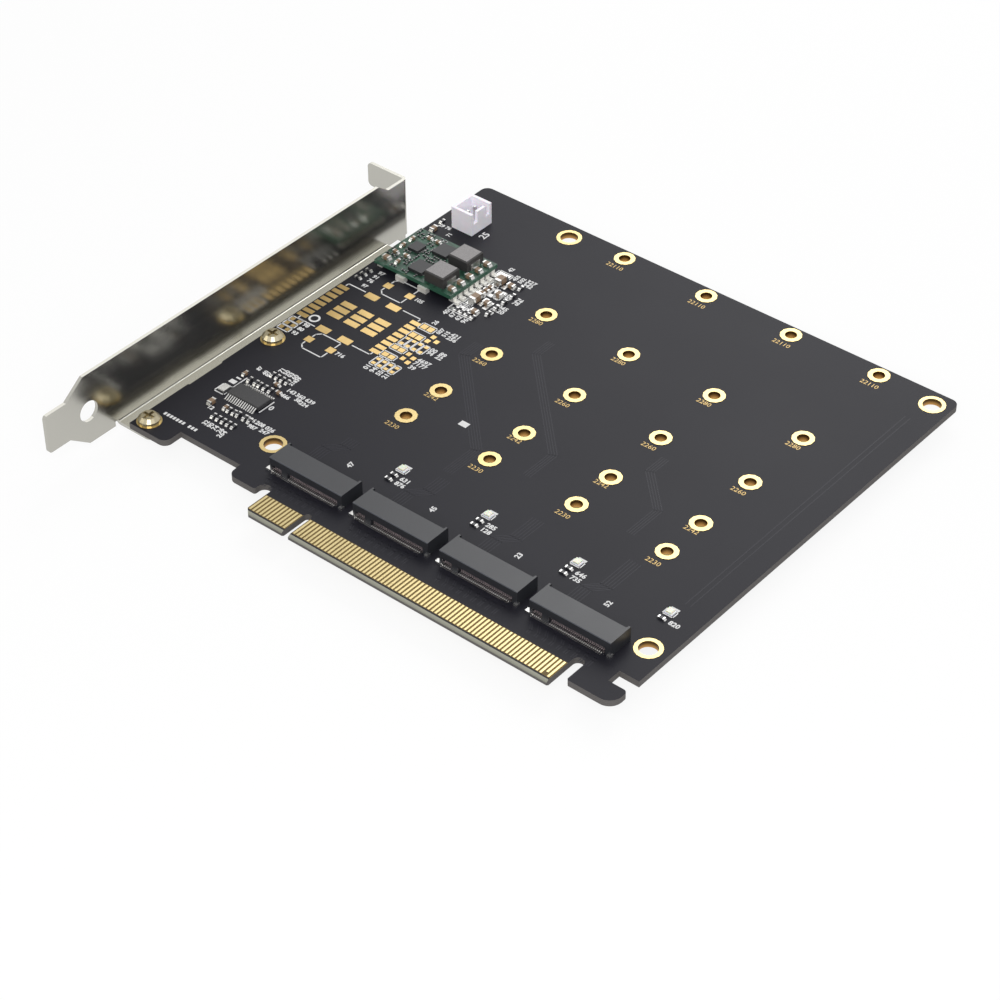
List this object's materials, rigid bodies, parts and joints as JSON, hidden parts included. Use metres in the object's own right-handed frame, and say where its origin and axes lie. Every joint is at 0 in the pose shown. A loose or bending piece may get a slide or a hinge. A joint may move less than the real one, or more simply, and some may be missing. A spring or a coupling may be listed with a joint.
{
  "type": "nvme adapter card",
  "caption": "Full-height expansion card with an edge connector, a steel slot bracket and sockets, nuts and a power module for M.2 drives.",
  "frame": {"origin": "centre line of the key notch, at the seating end of the edge connector's tongue, in the middle of the board's thickness", "axes": "+X along the edge connector away from the bracket, +Y up the card towards its top edge, +Z out of the component side"},
  "size_m": [0.156, 0.145, 0.0216],
  "materials": {
    "board": "glass-fibre board under satin charcoal solder mask",
    "gold": "gold plate over copper, semi-gloss",
    "brass": "turned brass, semi-gloss",
    "bracket_steel": "bright stainless sheet",
    "screw_steel": "yellow-plated steel, semi-gloss",
    "tin": "tin plate, satin",
    "white_plastic": "white nylon, satin",
    "module_board": "green solder mask, gloss",
    "inductor": "moulded iron powder, matt grey",
    "chip": "black moulding compound, matt",
    "capacitor": "tan ceramic, satin",
    "resistor": "black glaze, satin",
    "lens": "milky clear resin",
    "socket_plastic": "black moulded plastic, satin"
  },
  "bodies": {
    "root": {"board_capacitor_ends": "tin", "board_capacitors": "capacitor", "bracket": "bracket_steel", "bracket_screws": "screw_steel", "chip_resistor_ends": "tin", "chip_resistors": "resistor", "clock_chip_body": "chip", "clock_chip_leads": "tin", "corner_hole_plating": "gold", "edge_contacts_back": "gold", "edge_contacts_front": "gold", "main_board": "board", "module_nuts": "brass", "power_controller_chip": "chip", "power_header_housing": "white_plastic", "power_header_pins": "tin", "power_inductor_high": "inductor", "power_inductor_low": "inductor", "power_inductor_terminals": "tin", "power_module_board": "module_board", "power_module_capacitor_ends": "tin", "power_module_capacitors": "capacitor", "power_module_legs": "tin", "power_stage_chips": "chip", "socket_1_housing": "socket_plastic", "socket_1_leads": "tin", "socket_2_housing": "socket_plastic", "socket_2_leads": "tin", "socket_3_housing": "socket_plastic", "socket_3_leads": "tin", "socket_4_housing": "socket_plastic", "socket_4_leads": "tin", "socket_holddowns": "tin", "status_led_bases": "white_plastic", "status_led_lenses": "lens"}
  },
  "joints": []
}
